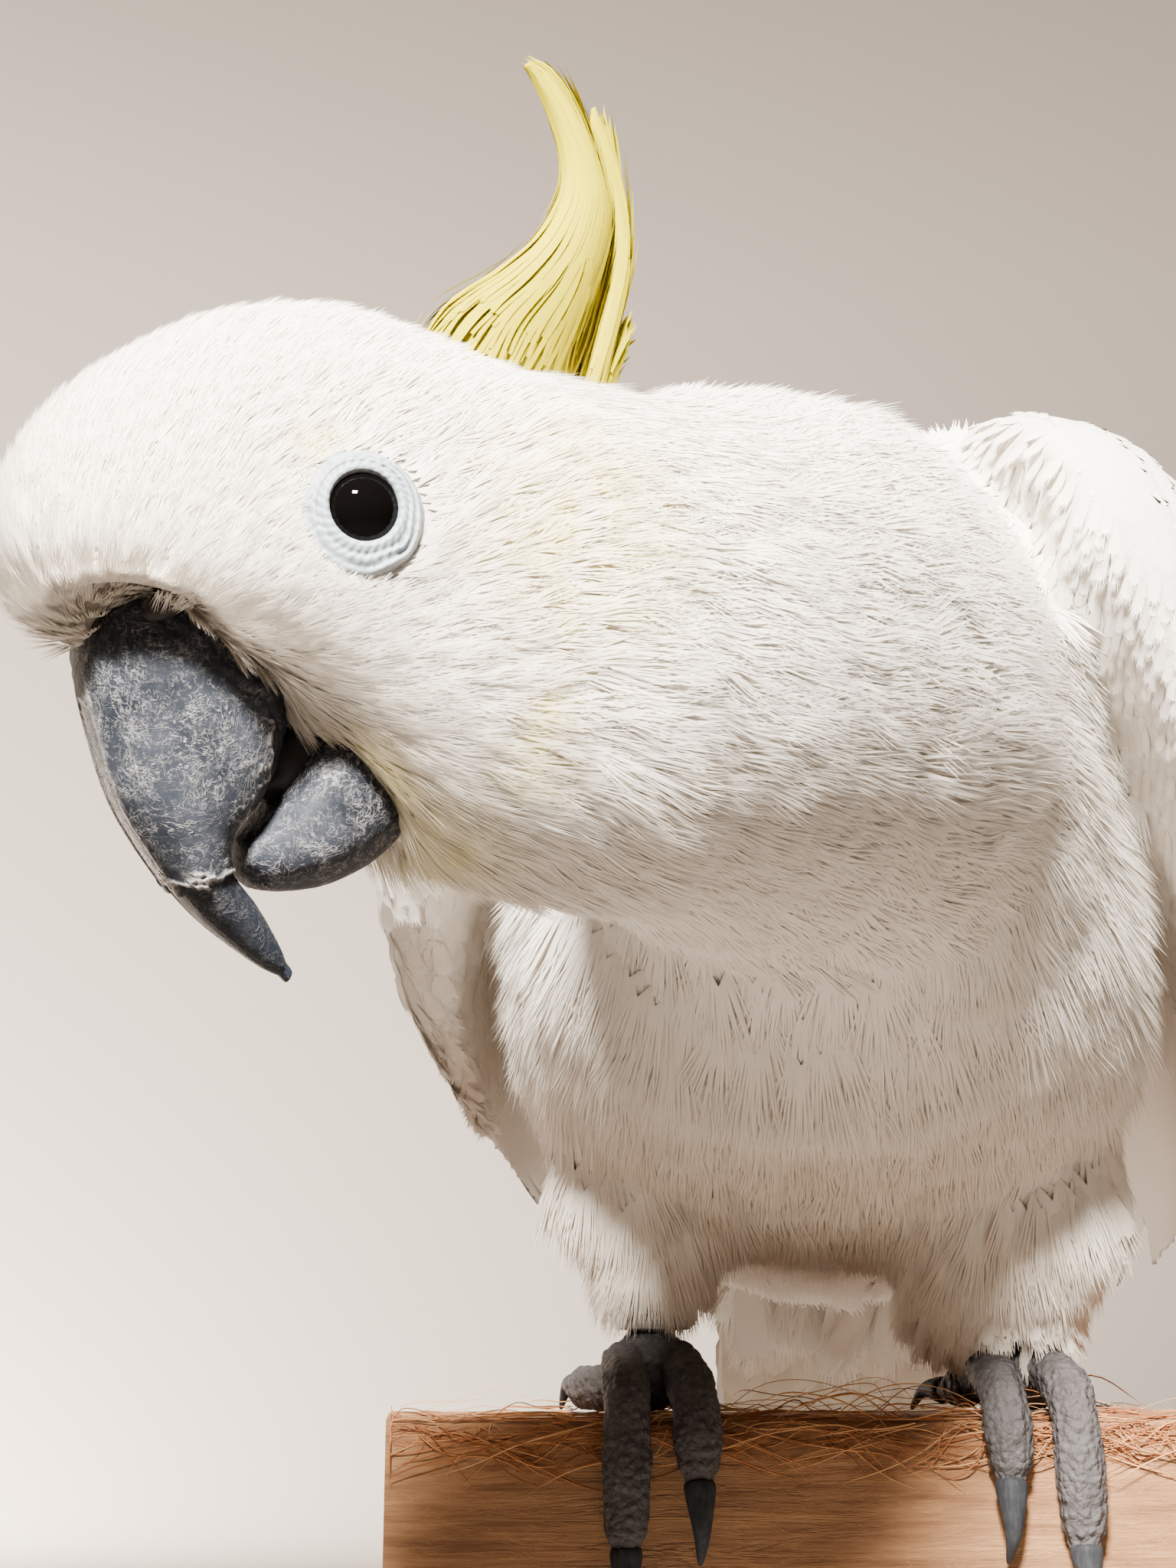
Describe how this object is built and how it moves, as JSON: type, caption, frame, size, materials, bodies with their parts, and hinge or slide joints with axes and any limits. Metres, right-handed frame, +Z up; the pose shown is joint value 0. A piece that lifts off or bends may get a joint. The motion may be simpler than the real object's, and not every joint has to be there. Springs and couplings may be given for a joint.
{
  "type": "white cockatoo",
  "caption": "Life-size white cockatoo with a yellow crest, leaning forward with its head turned to its right, gripping a short squared timber on a plain stand.",
  "frame": {"origin": "middle of the flat underside of the display stand's base", "axes": "+Z up; the bird's body faces -Y with its head turned toward -X, its tail runs toward +Y, and the perch lies along X"},
  "size_m": [0.2421, 0.4783, 0.3119],
  "materials": {
    "white_feathers": "soft overlapping white feathers with a warm cream cast",
    "yellow_feathers": "lemon yellow crest feathers",
    "bill": "dark grey horn with pale flaky scratches",
    "eye": "wet, near black",
    "bare_skin": "pale blue white wrinkled bare skin",
    "foot_skin": "dark grey pebbled scales",
    "claw": "dark grey horn",
    "ring_metal": "smooth plain metal band",
    "timber": "reddish brown sawn timber, grain along its length",
    "stand_plate": "plain satin grey",
    "stand_metal": "plain brushed rod"
  },
  "bodies": {
    "root": {"bill_lower": "bill", "bill_upper": "bill", "claw_1_left": "claw", "claw_1_right": "claw", "claw_2_left": "claw", "claw_2_right": "claw", "claw_3_left": "claw", "claw_3_right": "claw", "claw_4_left": "claw", "claw_4_right": "claw", "crest": "yellow_feathers", "eye_left": "eye", "eye_right": "eye", "eye_ring_left": "bare_skin", "eye_ring_right": "bare_skin", "foot_left": "foot_skin", "foot_right": "foot_skin", "head": "white_feathers", "leg_ring": "ring_metal", "neck": "white_feathers", "perch_beam": "timber", "stand_base": "stand_plate", "stand_rod_left": "stand_metal", "stand_rod_right": "stand_metal", "tail": "white_feathers", "thigh_left": "white_feathers", "thigh_right": "white_feathers", "toe_1_left": "foot_skin", "toe_1_right": "foot_skin", "toe_2_left": "foot_skin", "toe_2_right": "foot_skin", "toe_3_left": "foot_skin", "toe_3_right": "foot_skin", "toe_4_left": "foot_skin", "toe_4_right": "foot_skin", "trunk": "white_feathers", "wing_left": "white_feathers", "wing_right": "white_feathers"}
  },
  "joints": []
}
